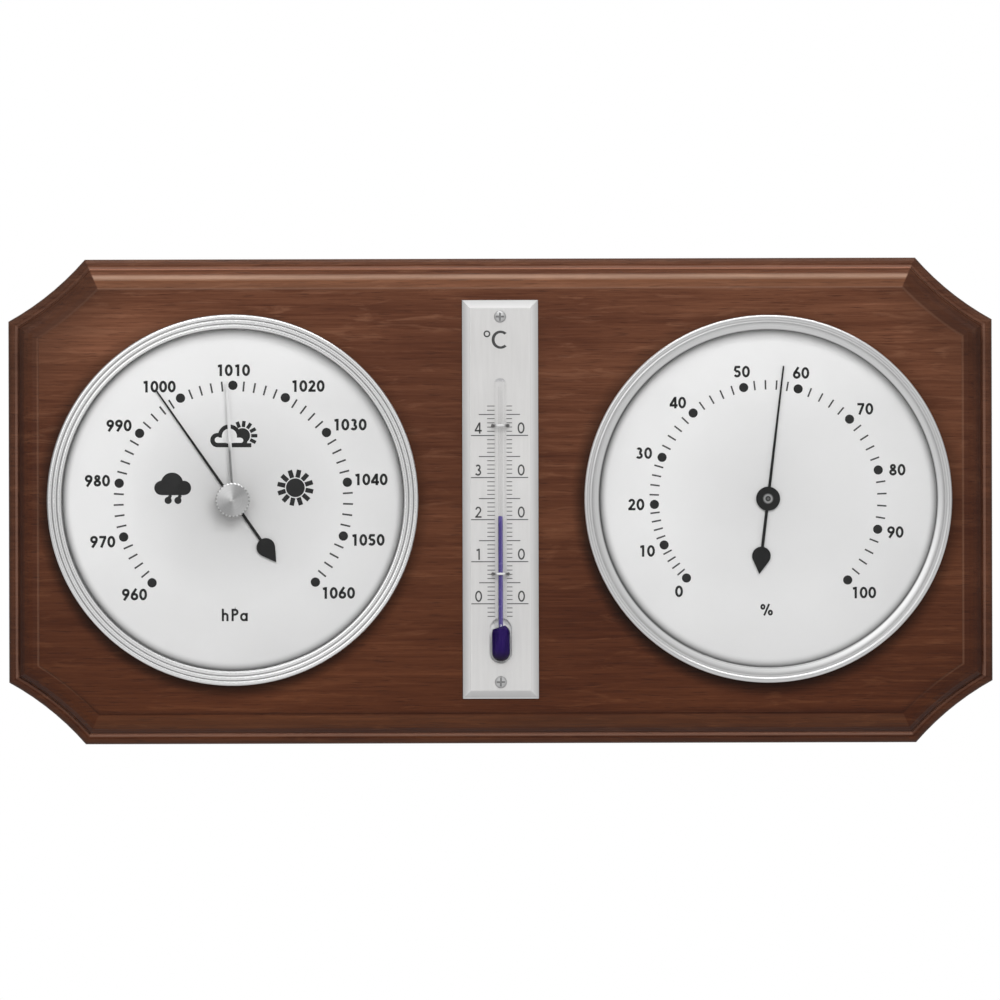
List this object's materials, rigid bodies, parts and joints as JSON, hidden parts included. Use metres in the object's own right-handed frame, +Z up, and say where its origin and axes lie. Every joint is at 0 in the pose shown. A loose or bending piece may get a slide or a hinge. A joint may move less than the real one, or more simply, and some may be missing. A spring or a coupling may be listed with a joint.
{
  "type": "weather station",
  "caption": "Wall weather station with an aneroid barometer and a hygrometer in round bezels beside a liquid thermometer, on a moulded wooden board.",
  "frame": {"origin": "middle of the board's back face, on the wall", "axes": "+X to the right along the board's long side as one reads the dials, +Y into the wall, +Z up"},
  "size_m": [0.28, 0.0332, 0.138],
  "materials": {
    "wood": "mahogany-stained and sealed, satin",
    "bezel_chrome": "turned and polished",
    "dial_white": "matt white lacquer",
    "hand_black": "black lacquer",
    "steel": "bright zinc-plated",
    "setting_metal": "turned and polished",
    "brass": "turned",
    "case_metal": "spun sheet",
    "capsule_metal": "stamped bronze",
    "spring_blue": "blued spring steel",
    "ring_grey": "satin",
    "plate_aluminium": "satin anodised",
    "glass": "clear, polished",
    "tube_glass": "clear, drawn",
    "liquid_violet": "dyed spirit",
    "wire_dark": "darkened wire",
    "coil_tan": "coated humidity strip"
  },
  "bodies": {
    "housing": {"board": "wood", "wall_hanger": "steel", "hanger_screws": "steel", "thermometer_plate": "plate_aluminium", "plate_screws": "steel", "thermometer_tube": "tube_glass", "bulb_liquid": "liquid_violet", "liquid_column": "liquid_violet", "tube_clip_upper": "wire_dark", "tube_clip_lower": "wire_dark", "barometer_case": "case_metal", "barometer_case_screws": "steel", "barometer_bezel": "bezel_chrome", "barometer_glass": "glass", "barometer_glass_ring": "ring_grey", "barometer_dial": "dial_white", "movement_base": "brass", "movement_base_screws": "steel", "movement_pillars": "brass", "movement_bridge": "brass", "movement_spacers": "brass", "movement_top_plate": "brass", "movement_top_screws": "steel", "aneroid_capsule": "capsule_metal", "hairspring": "spring_blue", "hairspring_stud": "brass", "setting_bush": "brass", "hygrometer_case": "case_metal", "hygrometer_case_screws": "steel", "hygrometer_bezel": "bezel_chrome", "hygrometer_glass": "glass", "hygrometer_glass_ring": "ring_grey", "hygrometer_dial": "dial_white", "hygrometer_base": "brass", "hygrometer_base_screws": "steel", "hygrometer_pillars": "brass", "hygrometer_bridge": "brass", "hygrometer_bridge_screws": "steel", "humidity_coil": "coil_tan"},
    "capsule_top": {"capsule_post": "steel"},
    "lever": {"rocking_lever": "steel"},
    "sector": {"sector_gear": "brass", "sector_arbor": "steel"},
    "pressure_hand": {"pointer_arbor": "steel", "barometer_pointer": "hand_black"},
    "setting": {"setting_hand": "setting_metal", "setting_stem": "steel", "setting_knob": "setting_metal"},
    "pressure_screw": {"pressure_adjuster": "brass"},
    "humidity_hand": {"hygrometer_arbor": "steel", "hygrometer_pointer": "hand_black"},
    "humidity_screw": {"humidity_adjuster": "brass"},
    "liquid_top": {"liquid_meniscus": "liquid_violet"}
  },
  "joints": [
    {"name": "pressure_hand_turn", "type": "hinge", "parent": "housing", "child": "pressure_hand", "pos_m": [-0.07615, -0.022, 0.00045], "axis": [0, 1, 0], "range_deg": [-100.2, 169.8]},
    {"name": "sector_turn", "type": "hinge", "parent": "housing", "child": "sector", "pos_m": [-0.05415, -0.0175, 0.00045], "axis": [0, 1, 0], "range_deg": [-17.1, 10.2]},
    {"name": "lever_rock", "type": "hinge", "parent": "housing", "child": "lever", "pos_m": [-0.07615, -0.0138, -0.00062], "axis": [1, 0, 0], "range_deg": [-17.1, 10.2]},
    {"name": "capsule_travel", "type": "slide", "parent": "housing", "child": "capsule_top", "axis": [0, 1, 0], "range_m": [-0.00032, 0.00054], "deforming": ["aneroid_capsule"]},
    {"name": "setting_hand_turn", "type": "hinge", "parent": "housing", "child": "setting", "pos_m": [-0.07615, -0.027, 0.00045], "axis": [0, 1, 0], "continuous": true},
    {"name": "pressure_screw_turn", "type": "hinge", "parent": "housing", "child": "pressure_screw", "pos_m": [-0.07615, -0.003, 0.00118], "axis": [0, 1, 0], "range_deg": [-180, 180]},
    {"name": "humidity_hand_turn", "type": "hinge", "parent": "housing", "child": "humidity_hand", "pos_m": [0.07615, -0.022, 0.00045], "axis": [0, 1, 0], "range_deg": [-141.3, 129], "deforming": ["humidity_coil"]},
    {"name": "humidity_screw_turn", "type": "hinge", "parent": "housing", "child": "humidity_screw", "pos_m": [0.07615, -0.003, 0.00045], "axis": [0, 1, 0], "range_deg": [-15, 15]},
    {"name": "temperature_rise", "type": "slide", "parent": "housing", "child": "liquid_top", "axis": [0, 0, 1], "range_m": [-0.0286, 0.0312], "deforming": ["liquid_column"]}
  ],
  "couplings": [
    {"joint": "sector_turn", "follows": "pressure_hand_turn", "ratio": -0.1},
    {"joint": "lever_rock", "follows": "pressure_hand_turn", "ratio": -0.1},
    {"joint": "capsule_travel", "follows": "pressure_hand_turn", "m_per_rad": 0.00018}
  ]
}
